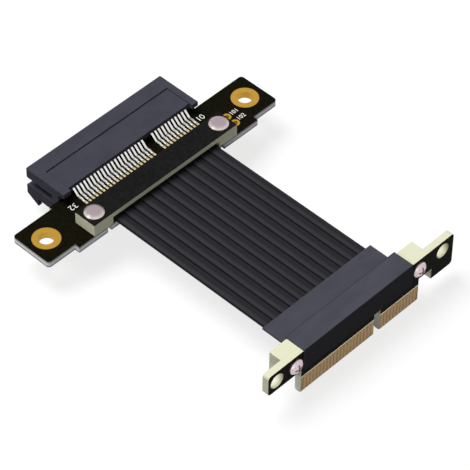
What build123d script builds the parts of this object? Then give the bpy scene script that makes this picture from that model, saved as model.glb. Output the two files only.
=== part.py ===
from build123d import *
import os

# Four-lane card-edge extension: a female slot end on a flat board, twelve flat cables side by side,
# and a male card-edge end on an upright board.
# X runs along both boards, Y points from the male end to the female end, Z is up. Millimetres.
# The origin is midway between the female board's two mounting holes, on the board's top face.

# Contact layout shared by both ends
pitch = 1.0  # contact to contact
short_count = 11
long_count = 21
key_span = 3.0  # last short contact to first long contact, across the key
key_x = 5.0  # centre of the key
end_margin = 1.1  # outermost contact to the card's edge
card_notch = 1.9

# Boards
board_t = 1.6
copper = 0.04
fit_gap = 0.05  # clearance round shanks, cables and boards
corner_r = 0.8

# Clamp bar and fasteners
clamp_len = 42.2
clamp_leg = 5.4
clamp_depth = 5.7
clamp_h = 3.0
clamp_bar_t = 1.2
rivet_head_r = 2.2
screw_head_r = 1.8
head_h = 1.35
screw_head_h = 1.2
head_rim = 0.3
shank_r = 1.2
tail_r = 1.8
tail_h = 0.8
recess_len = 2.1
recess_w = 0.45
recess_deep = 0.7

# Cables
cable_count = 12
cable_gap = 0.04
cable_side_gap = 0.54  # outermost cable to the clamp bar's foot
cable_t = 0.95
cable_edge_r = 0.42
cable_crown = 0.08  # rise of the jacket's middle over its edges
cable_x = -1.0  # middle of the twelve
cable_f_end = -3.4
cable_m_end = -57.3
wire_r = 0.17
wire_pitch = 1.1  # two cores in each flat cable
wire_bend_r = 0.3
wire_lead = 0.35  # bared core still straight where it leaves the jacket
wire_drop_run = 0.7  # jacket's end to the pads
wire_foot_inset = 0.25
wire_end_inset = 0.1
wire_pad_inset = 0.2  # pads' end to the clamp bar's rear edge

# Female board
f_ear_depth = 10.8
f_front = 6.7  # hole line to the front edge between the ears
f_front_from_clamp = 5.4
f_tongue_y = 6.1  # rear edge where the slot housing seats
f_tongue_margin = 2.65  # beyond the housing's open end
f_hole_from_clamp = 8.4
f_hole_to_end = 4.45
f_hole_r = 1.7
f_ring_r = 3.1
plating = 0.1
notch_width = 1.0
notch_depth = 1.5
notch_from_cable = 1.1
test_from_clamp = 2.35
test_y = -1.4
test_pitch = 2.54
test_ring_r = 1.0
test_hole_r = 0.5

# Slot housing
slot_gap = 2.0
slot_depth = 7.8
housing_h = 7.2
housing_front = 15.95  # mouth of the slot
open_end_margin = 2.65  # card's edge to the open end
slot_end_play = 0.15
end_wall = 1.75
rib_w = 1.7
rib_set_back = 1.0
post_run = 1.7  # end posts over the board's edge
eave_run = 0.6
eave_h = 1.2
recess_depth = 0.3
recess_front_margin = 3.85
recess_margin = 2.1
cavity_w = 0.72
cavity_roof = 1.1  # top of a cavity to the housing's broad face
hook_w = 0.95
hook_drop = 1.8
hook_run = 3.45
mouth_chamfer = 0.35
edge_r = 0.2  # outer edges of the mouldings

# Spring contacts
contact_w = 0.5
contact_t = 0.2
contact_bend_r = 0.35
shank_clearance = 0.15  # top of the shank to the roof of its cavity
shank_start = 0.65  # ahead of the housing's rear face
tail_bend = 2.0  # start of the slope, ahead of the housing's rear face
tail_run = 1.4  # flat foot on the pad
pad_w = 0.54
pad_bare = 1.5  # pad ahead of the foot
pad_under = 1.6
arm_root = 0.4
arm_run = 4.9
arm_tip_run = 1.4
arm_bow = 0.45

# Male board
m_front_y = -61.0
m_top = 3.6
m_bottom = -8.7
m_hole_from_clamp = 3.6
m_hole_to_left = 2.5
m_hole_to_right = 3.3
m_right_ear_w = 3.2  # hole to the ear's inner side
m_left_ear_bottom = -1.9
m_right_ear_bottom = -5.2
m_notch_top = -2.2
m_hole_r = 1.8
m_hole_z = 0.8
finger_top = -4.15
finger_w = 0.7
bevel = 0.35
spacer_t = 3.0
spacer_h = 5.5

# Male cover
cover_proud = 0.3
cover_top = 4.1
cover_bottom = -2.0
cover_depth = 5.0  # front of the board to the block's rear
cover_wall = 0.8
cover_head_gap = 0.45  # clear of the screw heads
lip_margin = 0.84
lip_run = 6.4
lip_t = 0.5
pad_end_gap = 0.3  # core pads to the cover's walls

# Worked out from the values above
mid_z = -board_t / 2
short_xs = [key_x + key_span / 2 + pitch * i for i in range(short_count)]
long_xs = [key_x - key_span / 2 - pitch * i for i in range(long_count)]
contact_xs = short_xs + long_xs
card_right = short_xs[-1] + end_margin
card_left = long_xs[-1] - end_margin

fastener_spacing = clamp_len - clamp_leg
fastener_xs = [cable_x - fastener_spacing / 2, cable_x + fastener_spacing / 2]
clamp_mid_y = -f_front + clamp_depth / 2
ribbon_w = clamp_len - 2 * (clamp_leg + cable_side_gap)
cable_pitch = (ribbon_w + cable_gap) / cable_count
cable_w = cable_pitch - cable_gap
cable_xs = [cable_x + cable_pitch * (i - (cable_count - 1) / 2) for i in range(cable_count)]
wire_xs = [x + side * wire_pitch / 2 for x in cable_xs for side in (-1, 1)]

f_hole_spacing = clamp_len + 2 * f_hole_from_clamp
f_width = f_hole_spacing + 2 * f_hole_to_end
f_front_width = clamp_len + 2 * f_front_from_clamp
test_x = cable_x + clamp_len / 2 + test_from_clamp

slot_right = card_right + slot_end_play
housing_right = slot_right + end_wall
housing_left = card_left - open_end_margin
housing_rear = f_tongue_y
slot_floor = housing_front - slot_depth
post_y = housing_rear - post_run
eave_y = housing_rear - eave_run
cavity_h = (housing_h - slot_gap) / 2 - cavity_roof
contact_level = slot_gap / 2 + cavity_h - shank_clearance - contact_t / 2
foot_rear = housing_rear - tail_bend
foot_end = foot_rear - tail_run

m_back_y = m_front_y + board_t
m_hole_x = clamp_len / 2 + m_hole_from_clamp
m_left = -m_hole_x - m_hole_to_left
m_right = m_hole_x + m_hole_to_right
m_right_ear_x = m_hole_x - m_right_ear_w
cover_rear_y = m_front_y + cover_depth
lip_rear_y = cover_rear_y + lip_run
lip_w = ribbon_w + 2 * lip_margin
cover_w = fastener_spacing - 2 * (screw_head_r + cover_head_gap)
spacer_w = (clamp_len - cover_w) / 2
spacer_mid_z = m_top - spacer_h / 2

os.makedirs("parts", exist_ok=True)


def dome_radius(rim_r, rise):
    """Radius of the arc that rises from a rim and is level at the middle."""
    return (rim_r**2 + rise**2) / (2 * rise)


def save(builder, label):
    builder.part.label = label
    export_step(builder.part, f"parts/{label}.step")


# female board: ears for the mounting holes, a wider middle and a tongue for the slot
with BuildPart() as female_board:
    with BuildSketch(Plane.XY.offset(-board_t)):
        Rectangle(f_width, f_ear_depth)
        with Locations((0, -f_front)):
            Rectangle(f_front_width, f_front, align=(Align.CENTER, Align.MIN))
        with Locations((housing_left - f_tongue_margin, 0)):
            Rectangle(
                housing_right - housing_left + f_tongue_margin,
                f_tongue_y,
                align=(Align.MIN, Align.MIN),
            )
        for side in (-1, 1):
            with Locations((cable_x + side * (ribbon_w / 2 + notch_from_cable + notch_width / 2), -f_front)):
                Rectangle(notch_width, notch_depth * 2, mode=Mode.SUBTRACT)
        with Locations((-f_hole_spacing / 2, 0), (f_hole_spacing / 2, 0)):
            Circle(f_hole_r + plating, mode=Mode.SUBTRACT)
        with Locations((test_x, test_y), (test_x, test_y - test_pitch)):
            Circle(test_hole_r + plating, mode=Mode.SUBTRACT)
        with Locations(*[(x, clamp_mid_y) for x in fastener_xs]):
            Circle(shank_r + fit_gap, mode=Mode.SUBTRACT)
    extrude(amount=board_t)
    ear_corners = female_board.edges().filter_by(Axis.Z).sort_by(Axis.X)
    fillet(ear_corners[:2] + ear_corners[-2:], corner_r)
save(female_board, "female_board")


def plated_holes(centres, ring_r, hole_r):
    """Through platings, each with a flat land on both faces of the board."""
    with BuildPart() as platings:
        for x, y in centres:
            with BuildSketch(Plane((x, y, 0), x_dir=(1, 0, 0), z_dir=(0, -1, 0))):
                with BuildLine():
                    Polyline(
                        (hole_r, copper),
                        (ring_r, copper),
                        (ring_r, 0),
                        (hole_r + plating, 0),
                        (hole_r + plating, -board_t),
                        (ring_r, -board_t),
                        (ring_r, -board_t - copper),
                        (hole_r, -board_t - copper),
                        close=True,
                    )
                make_face()
            revolve(axis=Axis((x, y, 0), (0, 0, 1)))
    return platings


mounting_holes = [(-f_hole_spacing / 2, 0), (f_hole_spacing / 2, 0)]
test_points = [(test_x, test_y), (test_x, test_y - test_pitch)]
save(plated_holes(mounting_holes, f_ring_r, f_hole_r), "mounting_hole_plating")
save(plated_holes(test_points, test_ring_r, test_hole_r), "test_point_plating")


# solder pads of the slot's contacts and of the cable cores
def pad_row(xs, y0, y1, z):
    with BuildPart() as row:
        with BuildSketch(Plane.XY.offset(z)):
            with Locations(*[(x, (y0 + y1) / 2) for x in xs]):
                Rectangle(pad_w, y1 - y0)
        extrude(amount=copper)
    return row


wire_pad_y0 = cable_f_end + wire_drop_run
wire_pad_y1 = clamp_depth - f_front - wire_pad_inset
pad_y0 = foot_end - pad_bare
pad_y1 = foot_end + pad_under
save(pad_row(contact_xs, pad_y0, pad_y1, 0), "contact_pads_top")
save(pad_row(contact_xs, pad_y0, pad_y1, -board_t - copper), "contact_pads_bottom")
save(pad_row(wire_xs, wire_pad_y0, wire_pad_y1, 0), "female_wire_pads")


# slot housing: open at one end, key rib, a cavity for every contact
with BuildPart() as slot_housing:
    # body with its end posts over the board's edge, above and below
    with BuildSketch(Plane.YZ.offset(housing_left)):
        with Locations((housing_rear, mid_z)):
            Rectangle(housing_front - housing_rear, housing_h, align=(Align.MIN, Align.CENTER))
        for side in (-1, 1):
            with Locations((post_y, mid_z + side * (housing_h - eave_h) / 2)):
                Rectangle(housing_rear - post_y, eave_h, align=(Align.MIN, Align.CENTER))
    extrude(amount=housing_right - housing_left)
    ends = slot_housing.edges().filter_by(Axis.Y).group_by(Axis.Z)
    fillet(slot_housing.faces().sort_by(Axis.Y)[-1].edges() + ends[0] + ends[-1], edge_r)
    # shallow panel on both broad faces, its rear edge set back over the contacts
    panel_left = housing_left + recess_margin
    panel_front = housing_front - recess_front_margin
    panel_rear = post_y - eave_run
    for side in (-1, 1):
        face_z = mid_z + side * housing_h / 2
        with BuildSketch(Plane.XY.offset(face_z)):
            with Locations((panel_left, panel_rear)):
                Rectangle(slot_right - panel_left, panel_front - panel_rear, align=(Align.MIN, Align.MIN))
        extrude(amount=-side * recess_depth, mode=Mode.SUBTRACT)
        with BuildSketch(Plane.XY.offset(face_z)):
            with Locations((panel_left, panel_rear)):
                Rectangle(slot_right - panel_left, eave_y - panel_rear, align=(Align.MIN, Align.MIN))
        extrude(amount=-side * eave_h, mode=Mode.SUBTRACT)
    # the slot itself, open at the left end, its mouth flared to lead the card in
    with BuildSketch(Plane.YZ.offset(housing_left)):
        with BuildLine():
            Polyline(
                (slot_floor, mid_z - slot_gap / 2),
                (housing_front - mouth_chamfer, mid_z - slot_gap / 2),
                (housing_front, mid_z - slot_gap / 2 - mouth_chamfer),
                (housing_front, mid_z + slot_gap / 2 + mouth_chamfer),
                (housing_front - mouth_chamfer, mid_z + slot_gap / 2),
                (slot_floor, mid_z + slot_gap / 2),
                close=True,
            )
        make_face()
    extrude(amount=slot_right - housing_left, mode=Mode.SUBTRACT)
    # key rib
    with BuildSketch(Plane.YZ.offset(key_x - rib_w / 2)):
        with Locations((slot_floor, mid_z)):
            Rectangle(slot_depth - rib_set_back, slot_gap, align=(Align.MIN, Align.CENTER))
    extrude(amount=rib_w)
    # contact cavities and the passages through the rear wall
    with BuildSketch(*[Plane.YZ.offset(x - cavity_w / 2) for x in contact_xs]):
        with Locations((slot_floor, mid_z)):
            Rectangle(slot_depth - rib_set_back, slot_gap + 2 * cavity_h, align=(Align.MIN, Align.CENTER))
    extrude(amount=cavity_w, mode=Mode.SUBTRACT)
    passage = contact_t + fit_gap
    with BuildSketch(*[Plane.YZ.offset(x - contact_w / 2 - fit_gap / 2) for x in contact_xs]):
        for side in (-1, 1):
            with Locations((housing_rear, mid_z + side * contact_level)):
                Rectangle(slot_floor - housing_rear, passage, align=(Align.MIN, Align.CENTER))
    extrude(amount=contact_w + fit_gap, mode=Mode.SUBTRACT)
    # hook under the open end
    underside = mid_z - housing_h / 2
    with BuildSketch(Plane.YZ.offset(housing_left)):
        with BuildLine():
            Polyline(
                (housing_front - edge_r, underside + edge_r),
                (housing_front - edge_r, underside),
                (housing_front - hook_run, underside - hook_drop),
                (housing_front - hook_run, underside + edge_r),
                close=True,
            )
        make_face()
    extrude(amount=hook_w)
save(slot_housing, "slot_housing")


# spring contacts: solder tail, gull-wing slope, straight shank and bowed spring arm
def contact_row(side):
    foot = board_t / 2 + copper + contact_t / 2
    touch_y = slot_floor + arm_run
    route = [
        (foot_end, foot),
        (foot_rear, foot),
        (housing_rear - shank_start, contact_level),
        (slot_floor + arm_root, contact_level),
        (touch_y, slot_gap / 2 - arm_bow),
        (touch_y + arm_tip_run, slot_gap / 2 + arm_bow),
    ]
    with BuildPart() as row:
        with BuildSketch(*[Plane.YZ.offset(x - contact_w / 2) for x in contact_xs]):
            with BuildLine():
                FilletPolyline(*[(y, mid_z + side * z) for y, z in route], radius=contact_bend_r)
            trace(line_width=contact_t)
        extrude(amount=contact_w)
    return row


save(contact_row(1), "contacts_top")
save(contact_row(-1), "contacts_bottom")

# clamp bar: two thick feet and a thin bridge over the cables
with BuildPart() as clamp_bar:
    with BuildSketch(Plane.XZ.offset(f_front)):
        with Locations((cable_x, 0)):
            Rectangle(clamp_len, clamp_h, align=(Align.CENTER, Align.MIN))
            Rectangle(
                clamp_len - 2 * clamp_leg,
                clamp_h - clamp_bar_t,
                align=(Align.CENTER, Align.MIN),
                mode=Mode.SUBTRACT,
            )
    extrude(amount=-clamp_depth)
    with BuildSketch(Plane.XY):
        with Locations(*[(x, clamp_mid_y) for x in fastener_xs]):
            Circle(shank_r + fit_gap)
    extrude(amount=clamp_h, mode=Mode.SUBTRACT)
save(clamp_bar, "clamp_bar")

# rivets: smooth domed head, shank, and a closed head under the board
with BuildPart() as rivets:
    for x in fastener_xs:
        with BuildSketch(Plane((x, clamp_mid_y, 0), x_dir=(1, 0, 0), z_dir=(0, -1, 0))):
            with BuildLine():
                Polyline((0, clamp_h + head_h), (0, -board_t - tail_h))
                RadiusArc((0, -board_t - tail_h), (tail_r, -board_t), -dome_radius(tail_r, tail_h))
                Polyline(
                    (tail_r, -board_t),
                    (shank_r, -board_t),
                    (shank_r, clamp_h),
                    (rivet_head_r, clamp_h),
                    (rivet_head_r, clamp_h + head_rim),
                )
                RadiusArc(
                    (rivet_head_r, clamp_h + head_rim),
                    (0, clamp_h + head_h),
                    -dome_radius(rivet_head_r, head_h - head_rim),
                )
            make_face()
        revolve(axis=Axis((x, clamp_mid_y, 0), (0, 0, 1)))
save(rivets, "rivets")

# flat cables, side by side from under the clamp bar to inside the male cover
crown_r = dome_radius(cable_w / 2, cable_crown)
for number, x in enumerate(reversed(cable_xs), start=1):
    with BuildPart() as cable:
        with BuildSketch(Plane.XZ.offset(-cable_f_end)):
            with Locations((x, cable_t / 2)):
                RectangleRounded(cable_w, cable_t, cable_edge_r)
            for side in (-1, 1):
                with Locations((x, cable_t / 2 + side * (cable_t / 2 - crown_r))):
                    Circle(crown_r, mode=Mode.INTERSECT)
        extrude(amount=cable_f_end - cable_m_end)
    save(cable, f"flat_cable_{number:02d}")

# bared cores: down to the pads on the female board, and onto the rear face of the male board
core_z = cable_t / 2
core_foot = copper + wire_r
with BuildPart() as female_wire_ends:
    with BuildLine() as core_path:
        FilletPolyline(
            (wire_xs[0], cable_f_end, core_z),
            (wire_xs[0], cable_f_end + wire_lead, core_z),
            (wire_xs[0], wire_pad_y0 + wire_foot_inset, core_foot),
            (wire_xs[0], wire_pad_y1 - wire_end_inset, core_foot),
            radius=wire_bend_r,
        )
    with BuildSketch(Plane(core_path.line @ 0, z_dir=core_path.line % 0)):
        Circle(wire_r)
    one_core = sweep(path=core_path.line)
    with Locations(*[(x - wire_xs[0], 0, 0) for x in wire_xs[1:]]):
        add(one_core)
save(female_wire_ends, "female_wire_ends")

male_pad_top = core_z + pad_end_gap
male_pad_bottom = cover_bottom + cover_wall + pad_end_gap
with BuildPart() as male_wire_pads:
    with BuildSketch(Plane.XZ.offset(-m_back_y)):
        with Locations(*[(x, (male_pad_top + male_pad_bottom) / 2) for x in wire_xs]):
            Rectangle(pad_w, male_pad_top - male_pad_bottom)
    extrude(amount=-copper)
save(male_wire_pads, "male_wire_pads")

with BuildPart() as male_wire_ends:
    with BuildLine() as core_path:
        FilletPolyline(
            (wire_xs[0], cable_m_end, core_z),
            (wire_xs[0], m_back_y + core_foot, core_z),
            (wire_xs[0], m_back_y + core_foot, male_pad_bottom + wire_end_inset),
            radius=wire_bend_r,
        )
    with BuildSketch(Plane(core_path.line @ 0, z_dir=core_path.line % 0)):
        Circle(wire_r)
    one_core = sweep(path=core_path.line)
    with Locations(*[(x - wire_xs[0], 0, 0) for x in wire_xs[1:]]):
        add(one_core)
save(male_wire_ends, "male_wire_ends")

# male board: card edge with its key notch, and two unequal ears
with BuildPart() as male_board:
    with BuildSketch(Plane.XZ.offset(-m_back_y)) as outline:
        with BuildLine():
            Polyline(
                (m_left, m_top),
                (m_right, m_top),
                (m_right, m_right_ear_bottom),
                (m_right_ear_x, m_right_ear_bottom),
                (m_right_ear_x, m_notch_top),
                (card_right, m_notch_top),
                (card_right, m_bottom),
                (key_x + card_notch / 2, m_bottom),
                (key_x + card_notch / 2, m_notch_top),
                (key_x - card_notch / 2, m_notch_top),
                (key_x - card_notch / 2, m_bottom),
                (card_left, m_bottom),
                (card_left, m_left_ear_bottom),
                (m_left, m_left_ear_bottom),
                close=True,
            )
        make_face()
        corners = outline.vertices()
        left_corners = corners.filter_by_position(Axis.X, m_left, m_left)
        right_corners = corners.filter_by_position(Axis.X, m_right, m_right)
        fillet(left_corners + right_corners, corner_r)
        with Locations((-m_hole_x, m_hole_z), (m_hole_x, m_hole_z)):
            Circle(m_hole_r, mode=Mode.SUBTRACT)
        with Locations(*[(x, spacer_mid_z) for x in fastener_xs]):
            Circle(shank_r + fit_gap, mode=Mode.SUBTRACT)
    extrude(amount=board_t)
    chamfer(male_board.edges().filter_by(Axis.X).group_by(Axis.Z)[0], bevel)
save(male_board, "male_board")


# card-edge contact fingers
def finger_row(y):
    with BuildPart() as row:
        with BuildSketch(Plane.XZ.offset(-y)):
            with Locations(*[(x, (finger_top + m_bottom + bevel) / 2) for x in contact_xs]):
                Rectangle(finger_w, finger_top - m_bottom - bevel)
        extrude(amount=copper)
    return row


save(finger_row(m_front_y), "fingers_front")
save(finger_row(m_back_y + copper), "fingers_rear")

# spacer blocks behind the male board, one at each end of the cover
for side, name in ((-1, "spacer_left"), (1, "spacer_right")):
    with BuildPart() as spacer:
        with BuildSketch(Plane.XZ.offset(-m_back_y)):
            with Locations((cable_x + side * (cover_w + spacer_w) / 2, spacer_mid_z)):
                Rectangle(spacer_w, spacer_h)
            with Locations((cable_x + side * fastener_spacing / 2, spacer_mid_z)):
                Circle(shank_r + fit_gap, mode=Mode.SUBTRACT)
        extrude(amount=-spacer_t)
    save(spacer, name)

# pan-head screws with a cross recess, from the male board's front into the spacers
with BuildPart() as screws:
    for x in fastener_xs:
        with BuildSketch(Plane((x, m_front_y, spacer_mid_z), x_dir=(1, 0, 0), z_dir=(0, 0, 1))):
            with BuildLine():
                Polyline(
                    (0, -screw_head_h),
                    (0, board_t + spacer_t),
                    (shank_r, board_t + spacer_t),
                    (shank_r, 0),
                    (screw_head_r, 0),
                    (screw_head_r, -head_rim),
                )
                RadiusArc(
                    (screw_head_r, -head_rim),
                    (0, -screw_head_h),
                    dome_radius(screw_head_r, screw_head_h - head_rim),
                )
            make_face()
        revolve(axis=Axis((x, m_front_y, spacer_mid_z), (0, 1, 0)))
    with BuildSketch(Plane.XZ.offset(-m_front_y + screw_head_h)):
        with Locations(*[(x, spacer_mid_z) for x in fastener_xs]):
            Rectangle(recess_len, recess_w)
            Rectangle(recess_w, recess_len)
    extrude(amount=-recess_deep, mode=Mode.SUBTRACT)
save(screws, "screws")

# male cover: cap over the board's top, cavity for the soldered cores, lip over the cables
with BuildPart() as cable_cover:
    with BuildSketch(Plane.XZ.offset(-cover_rear_y)):
        with Locations((cable_x, cover_bottom)):
            Rectangle(cover_w, cover_top - cover_bottom, align=(Align.CENTER, Align.MIN))
    extrude(amount=cover_rear_y - m_front_y + cover_proud)
    fillet(cable_cover.faces().sort_by(Axis.Z)[-1].edges(), edge_r)
    with BuildSketch(Plane.XY.offset(cable_t)):
        with Locations((cable_x, cover_rear_y)):
            Rectangle(lip_w, lip_rear_y - cover_rear_y, align=(Align.CENTER, Align.MIN))
    extrude(amount=lip_t)
    fillet(cable_cover.edges().group_by(Axis.Y)[-1].sort_by(Axis.Z)[-1], edge_r)
    # room for the board
    with BuildSketch(Plane.XY.offset(cover_bottom)):
        with Locations((cable_x, m_front_y)):
            Rectangle(cover_w, board_t, align=(Align.CENTER, Align.MIN))
    extrude(amount=m_top - cover_bottom, mode=Mode.SUBTRACT)
    # room for the soldered cores
    with BuildSketch(Plane.XY.offset(cover_bottom + cover_wall)):
        with Locations((cable_x, m_back_y)):
            Rectangle(
                cover_w - 2 * cover_wall,
                cover_rear_y - cover_wall - m_back_y,
                align=(Align.CENTER, Align.MIN),
            )
    extrude(amount=m_top - cover_wall - cover_bottom - cover_wall, mode=Mode.SUBTRACT)
    # the cables' way in
    with BuildSketch(Plane.XZ.offset(-cover_rear_y)):
        with Locations((cable_x, 0)):
            Rectangle(ribbon_w + fit_gap, cable_t, align=(Align.CENTER, Align.MIN))
    extrude(amount=cover_wall, mode=Mode.SUBTRACT)
save(cable_cover, "cable_cover")

print("flat cable length", round(cable_f_end - cable_m_end, 2), "mm, straight, no bends")
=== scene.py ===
import math

import bmesh
import bpy
from mathutils import Matrix, Vector


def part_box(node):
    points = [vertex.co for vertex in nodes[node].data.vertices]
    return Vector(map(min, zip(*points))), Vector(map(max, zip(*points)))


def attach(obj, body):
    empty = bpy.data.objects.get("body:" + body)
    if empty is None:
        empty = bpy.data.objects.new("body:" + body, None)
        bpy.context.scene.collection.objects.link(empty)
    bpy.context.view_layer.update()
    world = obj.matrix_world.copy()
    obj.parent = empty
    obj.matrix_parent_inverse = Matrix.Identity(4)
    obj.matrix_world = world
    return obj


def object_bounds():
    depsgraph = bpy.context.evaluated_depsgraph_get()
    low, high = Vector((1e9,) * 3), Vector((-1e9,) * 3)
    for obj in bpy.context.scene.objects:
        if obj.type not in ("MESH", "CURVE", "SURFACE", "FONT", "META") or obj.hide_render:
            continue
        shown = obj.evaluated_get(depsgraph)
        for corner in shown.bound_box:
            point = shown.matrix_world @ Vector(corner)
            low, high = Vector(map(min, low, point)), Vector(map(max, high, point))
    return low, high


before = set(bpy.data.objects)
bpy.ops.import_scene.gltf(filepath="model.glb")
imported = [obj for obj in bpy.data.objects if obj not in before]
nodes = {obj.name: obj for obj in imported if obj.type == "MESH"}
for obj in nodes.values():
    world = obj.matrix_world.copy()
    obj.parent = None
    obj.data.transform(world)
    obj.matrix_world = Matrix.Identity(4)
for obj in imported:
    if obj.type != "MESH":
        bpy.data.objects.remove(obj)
cad_low, cad_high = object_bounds()
MM = 0.001


# Places read from the frame, in metres
def low(node):
    return Vector(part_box(node)[0])


def high(node):
    return Vector(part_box(node)[1])


board_top = 0.0
floor_z = cad_low.z
cable_nodes = [name for name in nodes if name.startswith("flat_cable_")]
cable_nodes.sort(key=lambda name: low(name).x)
cable_pitch = (low(cable_nodes[-1]).x - low(cable_nodes[0]).x) / (len(cable_nodes) - 1)
cable_gap = low(cable_nodes[1]).x - high(cable_nodes[0]).x
ribbon_left = low(cable_nodes[0]).x - cable_gap / 2


# Colours, as the eye reads them from 0 to 255
def tone(red, green, blue):
    def linear(value):
        value /= 255
        return value / 12.92 if value <= 0.04045 else ((value + 0.055) / 1.055) ** 2.4

    return (linear(red), linear(green), linear(blue), 1.0)


MASK = tone(14, 13, 6)
MASK_LIGHT = tone(21, 19, 10)
CLAMP_MASK = tone(22, 22, 22)
CLAMP_MASK_LIGHT = tone(29, 29, 29)
LAMINATE = tone(232, 232, 206)
LAMINATE_DARK = tone(200, 199, 170)
CARD_EDGE = tone(255, 255, 242)
CARD_EDGE_DARK = tone(238, 238, 220)
GREY_EDGE = tone(246, 246, 248)
GREY_EDGE_DARK = tone(150, 150, 156)
CONTACT_ZONE = tone(236, 202, 146)
CONTACT_ZONE_DARK = tone(204, 172, 120)
PALE_LINE = tone(252, 250, 238)
PLASTIC = tone(68, 68, 78)
PLASTIC_DARK = tone(60, 60, 69)
COVER = tone(76, 76, 86)
COVER_DARK = tone(67, 67, 76)
# Painted shade for the cover's front and rear faces
COVER_FRONT_SHADE = tone(56, 56, 60)
COVER_FRONT_SHADE_DARK = tone(48, 48, 52)
# Painted shadow for the crease between the cover's cap and lip
CREASE_SHADE = tone(54, 54, 62)
CREASE_SHADE_LIGHT = tone(62, 62, 70)
# JACKET and JACKET_DARK are also the painted highlight and painted shade across each cable's shoulder
JACKET = tone(52, 51, 56)
JACKET_DARK = tone(34, 34, 37)
# Painted shade for the grooves between cables
GROOVE_SHADE = tone(12, 12, 14)
GOLD = tone(208, 166, 68)
GOLD_DARK = tone(176, 134, 50)
FINGER = tone(168, 139, 99)
FINGER_DARK = tone(140, 113, 77)
PAD = tone(238, 224, 186)
PAD_DARK = tone(208, 190, 144)
TIN = tone(250, 250, 248)
TIN_DARK = tone(224, 223, 218)
SHEARED = tone(74, 66, 56)
SHEARED_DARK = tone(50, 44, 38)
STEEL = tone(224, 208, 212)
STEEL_DARK = tone(188, 170, 176)
# Painted shade and painted highlight for the rivet heads
CROWN_SHADE = tone(166, 151, 156)
RIM_HIGHLIGHT = tone(228, 222, 214)
COPPER = tone(205, 128, 92)
COPPER_DARK = tone(160, 92, 64)
SILK = tone(248, 248, 244)
SILK_DARK = tone(222, 221, 212)
WHITE = (1, 1, 1, 1)
BLACK = (0, 0, 0, 1)


# Materials
GLASS_LAYER = 0.2 * MM


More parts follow.
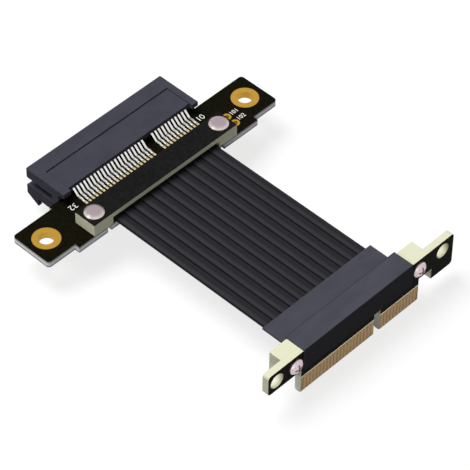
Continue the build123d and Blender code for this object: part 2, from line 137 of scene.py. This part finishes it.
class Finish:
    """A node material with its Principled shader, and short calls for the nodes that the finishes share."""

    def __init__(self, name, roughness, metallic=0.0, specular=0.5):
        self.material = bpy.data.materials.new(name)
        self.material.use_nodes = True
        self.tree = self.material.node_tree
        self.tree.nodes.clear()
        self.surface = None
        self.normal = None
        out = self.tree.nodes.new("ShaderNodeOutputMaterial")
        self.shader = self.tree.nodes.new("ShaderNodeBsdfPrincipled")
        self.shader.inputs["Roughness"].default_value = roughness
        self.shader.inputs["Metallic"].default_value = metallic
        self.shader.inputs["Specular IOR Level"].default_value = specular
        self.tree.links.new(self.shader.outputs["BSDF"], out.inputs["Surface"])
        self.coords = self.tree.nodes.new("ShaderNodeTexCoord")

    def link(self, source, target):
        self.tree.links.new(source, target)

    def noise(self, grain, detail=3.0, stretch=(1, 1, 1)):
        """Noise whose grain is a size in metres, drawn out along an axis by stretch."""
        mapping = self.tree.nodes.new("ShaderNodeMapping")
        mapping.inputs["Scale"].default_value = [1 / (grain * s) for s in stretch]
        self.link(self.coords.outputs["Object"], mapping.inputs["Vector"])
        node = self.tree.nodes.new("ShaderNodeTexNoise")
        node.inputs["Scale"].default_value = 1.0
        node.inputs["Detail"].default_value = detail
        self.link(mapping.outputs["Vector"], node.inputs["Vector"])
        return node.outputs["Fac"]

    def lines(self, spacing, axis, start=0.0, distortion=0.0):
        """Even lines across an axis, their spacing and the middle of a dark one in metres."""
        node = self.tree.nodes.new("ShaderNodeTexWave")
        node.bands_direction = axis
        node.inputs["Scale"].default_value = 1.0
        node.inputs["Distortion"].default_value = distortion
        node.inputs["Phase Offset"].default_value = -math.tau * start / spacing
        mapping = self.tree.nodes.new("ShaderNodeMapping")
        mapping.inputs["Scale"].default_value = [math.tau / 20 / spacing] * 3
        self.link(self.coords.outputs["Object"], mapping.inputs["Vector"])
        self.link(mapping.outputs["Vector"], node.inputs["Vector"])
        return node.outputs["Fac"]

    def ramp(self, factor, *stops):
        node = self.tree.nodes.new("ShaderNodeValToRGB")
        elements = node.color_ramp.elements
        while len(elements) < len(stops):
            elements.new(0.5)
        for element, (place, colour) in zip(elements, stops):
            element.position = place
            element.color = colour
        self.link(factor, node.inputs["Fac"])
        return node.outputs["Color"]

    def span(self, factor, start, end):
        """The factor, from 0 to 1, as a number from start to end."""
        node = self.tree.nodes.new("ShaderNodeMapRange")
        node.inputs["To Min"].default_value = start
        node.inputs["To Max"].default_value = end
        self.link(factor, node.inputs["Value"])
        return node.outputs["Result"]

    def mix(self, factor, first, second):
        node = self.tree.nodes.new("ShaderNodeMix")
        node.data_type = "RGBA"
        self.link(factor, node.inputs["Factor"])
        self.link(first, node.inputs["A"])
        self.link(second, node.inputs["B"])
        return node.outputs["Result"]

    def math(self, operation, first, second):
        node = self.tree.nodes.new("ShaderNodeMath")
        node.operation = operation
        self.link(first, node.inputs[0])
        if isinstance(second, float):
            node.inputs[1].default_value = second
        else:
            self.link(second, node.inputs[1])
        return node.outputs["Value"]

    def part_of(self, output, axis):
        split = self.tree.nodes.new("ShaderNodeSeparateXYZ")
        self.link(self.coords.outputs[output], split.inputs["Vector"])
        return split.outputs[axis]

    def facing(self, axis):
        """1 where the surface faces along the axis, either way."""
        along = self.part_of("Normal", axis)
        return self.math("GREATER_THAN", self.math("MULTIPLY", along, along), 0.5)

    def above(self, axis, place):
        """1 where the coordinate is over a place in metres."""
        return self.math("GREATER_THAN", self.part_of("Object", axis), place)

    def colour(self, source):
        self.surface = source
        self.link(source, self.shader.inputs["Base Color"])

    def roughness(self, source):
        self.link(source, self.shader.inputs["Roughness"])

    def bump(self, height, depth, strength=1.0, edge_radius=0.0):
        """Relief of that depth in metres, over any relief so far, with edges softened by a small radius."""
        node = self.tree.nodes.new("ShaderNodeBump")
        node.inputs["Strength"].default_value = strength
        node.inputs["Distance"].default_value = depth
        self.link(height, node.inputs["Height"])
        if edge_radius:
            edges = self.tree.nodes.new("ShaderNodeBevel")
            edges.samples = 4
            edges.inputs["Radius"].default_value = edge_radius
            self.normal = edges.outputs["Normal"]
        if self.normal:
            self.link(self.normal, node.inputs["Normal"])
        self.normal = node.outputs["Normal"]
        self.link(self.normal, self.shader.inputs["Normal"])


def cut_edge(finish, layer_axis, spacing, light, dark, start=0.0):
    """Bare glass laminate, its layers lying across an axis."""
    layers = finish.lines(spacing, layer_axis, start=start, distortion=0.6)
    fibres = finish.noise(0.14 * MM)
    return finish.mix(
        finish.span(fibres, 0.0, 0.4),
        finish.ramp(layers, (0.35, light), (0.75, dark)),
        finish.ramp(fibres, (0.3, light), (0.8, dark)),
    )


def solder_mask(finish, dark, light):
    """Black mask with a faint orange peel."""
    finish.bump(finish.noise(0.35 * MM), depth=0.015 * MM, strength=0.3, edge_radius=0.05 * MM)
    return finish.ramp(finish.noise(0.9 * MM), (0.35, dark), (0.7, light))


def flat_board_finish(name, edge, mask):
    """Mask on the top and bottom faces and laminate on the cut edges, where edge and mask are functions."""
    finish = Finish(name, 0.5, specular=0.01)
    flat = finish.facing("Z")
    finish.colour(finish.mix(flat, edge(finish), mask(finish)))
    finish.roughness(finish.span(flat, 0.75, 0.45))
    return finish.material


def upright_board_finish(name, mask_end, line_width, card_end):
    """Bare board between the fingers, a bright line at mask_end, and mask above it and past card_end."""
    finish = Finish(name, 0.5, specular=0.01)
    flat = finish.facing("Y")
    fibres = finish.noise(0.2 * MM)
    bare = finish.ramp(fibres, (0.3, CONTACT_ZONE), (0.75, CONTACT_ZONE_DARK))
    line = finish.ramp(fibres, (0.3, PALE_LINE), (0.8, LAMINATE))
    lower = finish.mix(finish.above("Z", mask_end), bare, line)
    masked = finish.math("MAXIMUM", finish.above("Z", mask_end + line_width), finish.above("X", card_end))
    face = finish.mix(masked, lower, solder_mask(finish, MASK, MASK_LIGHT))
    bright = finish.math("MULTIPLY", finish.math("GREATER_THAN", finish.above("Z", mask_end), masked), flat)
    finish.link(bright, finish.shader.inputs["Metallic"])
    edge = finish.mix(
        finish.above("Z", mask_end + line_width),
        cut_edge(finish, "Y", GLASS_LAYER, CARD_EDGE, CARD_EDGE_DARK),
        cut_edge(finish, "Y", GLASS_LAYER, LAMINATE, LAMINATE_DARK),
    )
    finish.colour(finish.mix(flat, edge, face))
    finish.roughness(finish.span(flat, 0.75, 0.45))
    return finish.material


def laminate_finish(name, layer_axis):
    """Milled block of bare laminate."""
    finish = Finish(name, 0.7, specular=0.2)
    finish.colour(cut_edge(finish, layer_axis, GLASS_LAYER, LAMINATE, LAMINATE_DARK))
    finish.bump(finish.noise(0.15 * MM), depth=0.02 * MM, strength=0.4, edge_radius=0.05 * MM)
    return finish.material


def plastic_finish(name, light, dark):
    """A Finish of dark glass-filled moulding: fine spark-eroded grain and faint flow marks."""
    finish = Finish(name, 0.55, specular=0.004)
    grain = finish.noise(0.08 * MM, detail=4)
    flow = finish.noise(6 * MM, detail=2, stretch=(1, 0.4, 1))
    finish.colour(
        finish.mix(
            finish.span(grain, 0.0, 0.5),
            finish.ramp(flow, (0.3, light), (0.75, dark)),
            finish.ramp(grain, (0.4, light), (0.62, dark)),
        )
    )
    finish.roughness(finish.span(grain, 0.5, 0.68))
    finish.bump(grain, depth=0.012 * MM, strength=0.5, edge_radius=0.04 * MM)
    return finish


def cover_finish(name, crease_y, crease_shade_width):
    """The cover's plastic, with painted shade on its front and rear faces and a painted shadow in the line
    between its cap and lip.
    """
    finish = plastic_finish(name, COVER, COVER_DARK)
    marks = finish.noise(0.3 * MM)
    # Painted shadow in a band along the crease between cap and lip, on faces that point up
    crease = finish.ramp(marks, (0.3, CREASE_SHADE), (0.7, CREASE_SHADE_LIGHT))
    # Painted shade on the faces that point along Y, front and rear
    front = finish.ramp(marks, (0.3, COVER_FRONT_SHADE), (0.7, COVER_FRONT_SHADE_DARK))
    past_start = finish.above("Y", crease_y - crease_shade_width / 2)
    past_end = finish.above("Y", crease_y + crease_shade_width / 2)
    line = finish.math("MULTIPLY", finish.math("SUBTRACT", past_start, past_end), finish.facing("Z"))
    finish.colour(finish.mix(finish.facing("Y"), finish.mix(line, finish.surface, crease), front))
    return finish.material


def jacket_finish(name, pitch, first_gap):
    """Extruded cable jacket: satin, drawn along its run, with a painted highlight on one shoulder of each
    cable and painted shade in the grooves between cables.
    """
    finish = Finish(name, 0.5, specular=0.04)
    drawn = finish.noise(0.12 * MM, detail=3, stretch=(1, 60, 1))
    # Painted highlight: these lines pale one shoulder of each cable to JACKET and leave the rest darker
    shoulder = finish.lines(pitch, "X", start=first_gap - 0.27 * pitch, distortion=0.15)
    crown = finish.lines(pitch, "X", start=first_gap)
    top = finish.mix(
        finish.span(drawn, 0.0, 0.4),
        finish.ramp(shoulder, (0.4, JACKET_DARK), (0.97, JACKET)),
        finish.ramp(drawn, (0.35, JACKET), (0.65, JACKET_DARK)),
    )
    # Painted shade in the grooves between cables, where the crown lines are near zero
    groove_shade = finish.ramp(drawn, (0.3, GROOVE_SHADE), (0.7, JACKET_DARK))
    finish.colour(finish.mix(finish.ramp(crown, (0.005, BLACK), (0.09, WHITE)), groove_shade, top))
    finish.roughness(finish.span(drawn, 0.42, 0.56))
    finish.bump(finish.math("MINIMUM", crown, 0.55), depth=0.3 * MM)
    finish.bump(drawn, depth=0.01 * MM, strength=0.5)
    return finish.material


def metal_finish(name, light, dark, grain, roughness, stretch=(1, 1, 1)):
    """Bare or plated metal with marks of that grain, in metres, drawn out along an axis by stretch."""
    finish = Finish(name, roughness, metallic=1.0)
    marks = finish.noise(grain, detail=4, stretch=stretch)
    finish.colour(finish.ramp(marks, (0.3, light), (0.75, dark)))
    finish.roughness(finish.span(marks, roughness - 0.06, roughness + 0.12))
    finish.bump(marks, depth=0.008 * MM, strength=0.4, edge_radius=0.03 * MM)
    return finish.material


def contact_finish(name):
    """Tinned spring strip, with bare metal at the sheared sides."""
    finish = Finish(name, 0.38, metallic=1.0)
    marks = finish.noise(0.12 * MM, detail=4, stretch=(1, 6, 1))
    tinned = finish.ramp(marks, (0.3, TIN), (0.75, TIN_DARK))
    bare = finish.ramp(marks, (0.3, SHEARED), (0.75, SHEARED_DARK))
    finish.colour(finish.mix(finish.facing("X"), tinned, bare))
    finish.roughness(finish.span(marks, 0.32, 0.5))
    finish.bump(marks, depth=0.008 * MM, strength=0.4)
    return finish.material


def rivet_finish(name):
    """Set rivet head: painted shade on its pressed crown, and a painted highlight on its rim."""
    finish = Finish(name, 0.34, metallic=1.0)
    marks = finish.noise(0.12 * MM, detail=4)
    steepness = finish.part_of("Normal", "Z")
    # Painted highlight on the steep rim and painted shade on the flat crown, chosen by the normal's Z
    finish.colour(
        finish.mix(
            finish.span(marks, 0.0, 0.3),
            finish.ramp(steepness, (0.6, RIM_HIGHLIGHT), (0.85, CROWN_SHADE)),
            finish.ramp(marks, (0.3, STEEL), (0.75, STEEL_DARK)),
        )
    )
    finish.roughness(finish.span(marks, 0.28, 0.42))
    finish.bump(marks, depth=0.006 * MM, strength=0.4)
    return finish.material


def silk_finish(name):
    """Screen-printed white ink."""
    finish = Finish(name, 0.7, specular=0.2)
    specks = finish.noise(0.08 * MM)
    finish.colour(finish.ramp(specks, (0.3, SILK), (0.8, SILK_DARK)))
    finish.bump(specks, depth=0.01 * MM, strength=0.4)
    return finish.material


board_middle = low("female_board").z / 2
edge_band = 1.5 * MM
mask_line = 0.18 * MM
past_fingers = 1.0 * MM
lip_run = 6.4 * MM
crease_shade_width = 0.6 * MM

female_board_finish = flat_board_finish(
    "mask_and_grey_laminate",
    edge=lambda finish: cut_edge(finish, "Z", edge_band, GREY_EDGE, GREY_EDGE_DARK, start=board_middle),
    mask=lambda finish: solder_mask(finish, MASK, MASK_LIGHT),
)
clamp_finish = flat_board_finish(
    "mask_and_cream_laminate",
    edge=lambda finish: cut_edge(finish, "Z", GLASS_LAYER, LAMINATE, LAMINATE_DARK),
    mask=lambda finish: solder_mask(finish, CLAMP_MASK, CLAMP_MASK_LIGHT),
)
male_board_finish = upright_board_finish(
    "mask_and_contact_zone",
    mask_end=high("fingers_front").z,
    line_width=mask_line,
    card_end=high("fingers_front").x + past_fingers,
)
spacer_finish = laminate_finish("bare_laminate", layer_axis="Y")
housing_plastic = plastic_finish("housing_plastic", PLASTIC, PLASTIC_DARK).material
cover_plastic = cover_finish("cover_plastic", high("cable_cover").y - lip_run, crease_shade_width)
jacket = jacket_finish("cable_jacket", cable_pitch, ribbon_left)
gold = metal_finish("gold_plating", GOLD, GOLD_DARK, grain=0.2 * MM, roughness=0.36)
finger_gold = metal_finish(
    "finger_gold", FINGER, FINGER_DARK, grain=0.15 * MM, roughness=0.45, stretch=(1, 1, 12)
)
pad_gold = metal_finish("pad_plating", PAD, PAD_DARK, grain=0.12 * MM, roughness=0.4)
contact_tin = contact_finish("contact_tin")
solder = metal_finish("solder_joint", TIN, TIN_DARK, grain=0.25 * MM, roughness=0.28)
steel = metal_finish("fastener_steel", STEEL, STEEL_DARK, grain=0.4 * MM, roughness=0.4)
rivet_steel = rivet_finish("rivet_steel")
copper = metal_finish(
    "bare_copper", COPPER, COPPER_DARK, grain=0.15 * MM, roughness=0.35, stretch=(1, 5, 1)
)
silk = silk_finish("silk_ink")

finish_of = {
    "female_board": female_board_finish,
    "clamp_bar": clamp_finish,
    "male_board": male_board_finish,
    "spacer_left": spacer_finish,
    "spacer_right": spacer_finish,
    "slot_housing": housing_plastic,
    "cable_cover": cover_plastic,
    "mounting_hole_plating": gold,
    "test_point_plating": gold,
    "contact_pads_top": pad_gold,
    "contact_pads_bottom": pad_gold,
    "female_wire_pads": gold,
    "male_wire_pads": gold,
    "fingers_front": finger_gold,
    "fingers_rear": finger_gold,
    "contacts_top": contact_tin,
    "contacts_bottom": contact_tin,
    "rivets": rivet_steel,
    "screws": steel,
    "female_wire_ends": copper,
    "male_wire_ends": copper,
}


def dress(obj, material):
    obj.data.materials.clear()
    obj.data.materials.append(material)


for name, material in finish_of.items():
    dress(nodes[name], material)
for name in cable_nodes:
    dress(nodes[name], jacket)


# Pieces
def piece(name, mesh, material):
    """A mesh that rides on the part's one body, in a slot of the record."""
    obj = bpy.data.objects.new(name, mesh)
    bpy.context.collection.objects.link(obj)
    dress(obj, material)
    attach(obj, "root")


# Printed numbers beside the contact row and the test points
ink_depth = 0.01 * MM


def numeral(name, text, x, y, height, turn):
    """A plain number on the female board's top face, centred at x and y."""
    curve = bpy.data.curves.new(name, "FONT")
    curve.body = text
    curve.size = height
    curve.extrude = ink_depth
    curve.align_x = "CENTER"
    curve.align_y = "CENTER"
    obj = bpy.data.objects.new(name, curve)
    obj.location = (x, y, board_top + ink_depth)
    obj.rotation_euler = (0, 0, turn)
    bpy.context.collection.objects.link(obj)
    curve.materials.append(silk)
    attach(obj, "root")


upside_down = math.pi
upright = 0.0
row_print = 2.1 * MM
point_print = 1.55 * MM
row_toe = low("contacts_top").y
first_number_x = high("contacts_top").x + 1.5 * MM
first_number_y = row_toe - 0.1 * MM
last_number_x = low("contacts_top").x - 2.6 * MM
point_number_x = high("test_point_plating").x + 1.25 * MM
first_point_number_y = -1.35 * MM
second_point_number_y = -3.5 * MM
numeral("first_contact_number", "01", first_number_x, first_number_y, row_print, upside_down)
numeral("last_contact_number", "32", last_number_x, row_toe, row_print, upside_down)
numeral("first_test_point_number", "101", point_number_x, first_point_number_y, point_print, upright)
numeral("second_test_point_number", "102", point_number_x, second_point_number_y, point_print, upright)


# Solder joints of the slot's contacts
contact_pitch = 1.0 * MM
contact_width = 0.5 * MM
short_group, long_group = 11, 21
first_x = high("contacts_top").x - contact_width / 2
last_x = low("contacts_top").x + contact_width / 2
contact_xs = [first_x - contact_pitch * i for i in range(short_group)]
contact_xs += [last_x + contact_pitch * i for i in range(long_group)]
joint_half_width = 0.27 * MM
joint_half_length = 1.0 * MM
joint_height = 0.15 * MM
joint_ahead_of_toe = 0.8 * MM


def mound(bm, x, y, z, half_width, half_length, height, steps=8, narrowing=0.25):
    """A closed mound of solder on a flat foot at z, narrower at its ends; its height may be negative."""
    rows = []
    for i in range(steps + 1):
        v = 2 * i / steps - 1
        row = []
        for j in range(steps + 1):
            u = 2 * j / steps - 1
            width = half_width * (1 - narrowing * v * v)
            rise = (1 - u * u) ** 0.5 * (1 - v**4)
            row.append(bm.verts.new((x + u * width, y + v * half_length, z + height * rise)))
        rows.append(row)
    for lower, upper in zip(rows, rows[1:]):
        for j in range(steps):
            bm.faces.new((lower[j], lower[j + 1], upper[j + 1], upper[j]))
    rim = rows[0] + [row[-1] for row in rows[1:]] + rows[-1][-2::-1] + [row[0] for row in rows[-2:0:-1]]
    bm.faces.new(rim[::-1])


def solder_row(name, contacts, pads, side):
    """Joints between a row of contacts and its pads; side is 1 on the board's top and -1 under it."""
    pad_face = high(pads).z if side > 0 else low(pads).z
    middle_y = low(contacts).y + joint_half_length - joint_ahead_of_toe
    mesh = bpy.data.meshes.new(name)
    bm = bmesh.new()
    for x in contact_xs:
        mound(bm, x, middle_y, pad_face, joint_half_width, joint_half_length, side * joint_height)
    bmesh.ops.recalc_face_normals(bm, faces=bm.faces)
    for face in bm.faces:
        face.smooth = True
    bm.to_mesh(mesh)
    bm.free()
    piece(name, mesh, solder)


solder_row("solder_joints_top", "contacts_top", "contact_pads_top", 1)
solder_row("solder_joints_bottom", "contacts_bottom", "contact_pads_bottom", -1)


# Seams where the soft jackets of neighbouring cables press together
seam_depth = 0.2 * MM


def block(bm, low_corner, high_corner):
    """A closed box between two corners."""
    corners = [
        bm.verts.new((x, y, z))
        for x in (low_corner.x, high_corner.x)
        for y in (low_corner.y, high_corner.y)
        for z in (low_corner.z, high_corner.z)
    ]
    for side in ((0, 1, 3, 2), (4, 6, 7, 5), (0, 4, 5, 1), (2, 3, 7, 6), (0, 2, 6, 4), (1, 5, 7, 3)):
        bm.faces.new([corners[i] for i in side])


def jacket_seams(name, depth):
    """Strips of jacket, at half height, that fill the gaps between the cables."""
    mesh = bpy.data.meshes.new(name)
    bm = bmesh.new()
    for left, right in zip(cable_nodes, cable_nodes[1:]):
        middle_z = (low(left).z + high(left).z) / 2
        block(
            bm,
            Vector((high(left).x, low(left).y, middle_z - depth / 2)),
            Vector((low(right).x, high(left).y, middle_z + depth / 2)),
        )
    bm.to_mesh(mesh)
    bm.free()
    piece(name, mesh, jacket)


jacket_seams("jacket_seams", seam_depth)


# Floor, light and camera
def seen_directly(tree):
    """1 on the rays of the camera and of reflections and glass."""
    path = tree.nodes.new("ShaderNodeLightPath")
    reflected = tree.nodes.new("ShaderNodeMath")
    reflected.operation = "MAXIMUM"
    tree.links.new(path.outputs["Is Glossy Ray"], reflected.inputs[0])
    tree.links.new(path.outputs["Is Transmission Ray"], reflected.inputs[1])
    either = tree.nodes.new("ShaderNodeMath")
    either.operation = "MAXIMUM"
    tree.links.new(path.outputs["Is Camera Ray"], either.inputs[0])
    tree.links.new(reflected.outputs[0], either.inputs[1])
    return either.outputs[0]


def floor_finish(bounce, glow):
    """White where it is seen, with part of the object's shadow; bounce is how pale it is to the object."""
    finish = Finish("pale_floor", 0.9, specular=0.0)
    finish.shader.inputs["Base Color"].default_value = (bounce, bounce, bounce, 1)
    tree = finish.tree
    white = tree.nodes.new("ShaderNodeBsdfDiffuse")
    white.inputs["Color"].default_value = WHITE
    light = tree.nodes.new("ShaderNodeEmission")
    light.inputs["Color"].default_value = WHITE
    shown = tree.nodes.new("ShaderNodeMixShader")
    shown.inputs["Fac"].default_value = glow
    tree.links.new(white.outputs[0], shown.inputs[1])
    tree.links.new(light.outputs[0], shown.inputs[2])
    whole = tree.nodes.new("ShaderNodeMixShader")
    tree.links.new(seen_directly(tree), whole.inputs["Fac"])
    tree.links.new(finish.shader.outputs[0], whole.inputs[1])
    tree.links.new(shown.outputs[0], whole.inputs[2])
    tree.links.new(whole.outputs[0], tree.nodes["Material Output"].inputs["Surface"])
    return finish.material


floor_half = 4.0
floor_sides = ((-1, -1), (1, -1), (1, 1), (-1, 1))
floor_mesh = bpy.data.meshes.new("floor")
floor_bm = bmesh.new()
floor_bm.faces.new([floor_bm.verts.new((x * floor_half, y * floor_half, floor_z)) for x, y in floor_sides])
floor_bm.to_mesh(floor_mesh)
floor_bm.free()
floor = bpy.data.objects.new("floor", floor_mesh)
bpy.context.collection.objects.link(floor)
dress(floor, floor_finish(bounce=0.3, glow=0.78))

# The world is white where it is seen, and lights the object at the ambient level
ambient = 0.12
white_level = 1.0
world = bpy.data.worlds.new("studio")
bpy.context.scene.world = world
world.use_nodes = True
world_tree = world.node_tree
background = world_tree.nodes["Background"]
background.inputs["Color"].default_value = WHITE
level = world_tree.nodes.new("ShaderNodeMapRange")
level.inputs["To Min"].default_value = ambient
level.inputs["To Max"].default_value = white_level
world_tree.links.new(seen_directly(world_tree), level.inputs["Value"])
world_tree.links.new(level.outputs["Result"], background.inputs["Strength"])

middle = Vector(((cad_low.x + cad_high.x) / 2, (cad_low.y + cad_high.y) / 2, 0))


def soft_light(name, place, size, power, reflected):
    """A square lamp aimed at the object's middle; its place and size are in metres, its power in watts."""
    data = bpy.data.lights.new(name, "AREA")
    data.shape = "SQUARE"
    data.size = size
    data.energy = power
    obj = bpy.data.objects.new(name, data)
    obj.location = middle + Vector(place)
    obj.rotation_euler = (-Vector(place)).to_track_quat("-Z", "Y").to_euler()
    obj.visible_glossy = reflected
    bpy.context.collection.objects.link(obj)


soft_light("overhead", place=(-0.18, 0.45, 1.0), size=0.7, power=15.2, reflected=False)
soft_light("left", place=(-0.80, 0.30, 0.55), size=0.3, power=0.8, reflected=True)
soft_light("front_left", place=(-0.62, -0.75, 0.30), size=0.35, power=1.5, reflected=True)

# The photograph's camera, worked out from points found in the photo
photo_width_px = 470
focal_length_px = 2863.54
sensor_width_mm = 36.0
view_azimuth = math.radians(-46.5)
view_elevation = math.radians(46.43)
view_roll = math.radians(0.79)
view_distance = 591.55 * MM
view_target = Vector((-1.47, -27.01, 0.0)) * MM
camera_data = bpy.data.cameras.new("camera")
camera_data.sensor_width = sensor_width_mm
camera_data.lens = sensor_width_mm * focal_length_px / photo_width_px
camera_data.clip_start = 10 * MM
camera_data.clip_end = 20.0
camera = bpy.data.objects.new("camera", camera_data)
back = Vector(
    (
        math.sin(view_azimuth) * math.cos(view_elevation),
        -math.cos(view_azimuth) * math.cos(view_elevation),
        math.sin(view_elevation),
    )
)
right = (-back).cross(Vector((0, 0, 1))).normalized()
up = right.cross(-back)
turned_right = right * math.cos(view_roll) + up * math.sin(view_roll)
turned_up = up * math.cos(view_roll) - right * math.sin(view_roll)
camera.matrix_world = Matrix.Translation(view_target + back * view_distance) @ Matrix(
    (turned_right, turned_up, back)
).transposed().to_4x4()
bpy.context.collection.objects.link(camera)
bpy.context.scene.camera = camera
bpy.context.scene.view_settings.view_transform = "Standard"

bpy.context.view_layer.update()
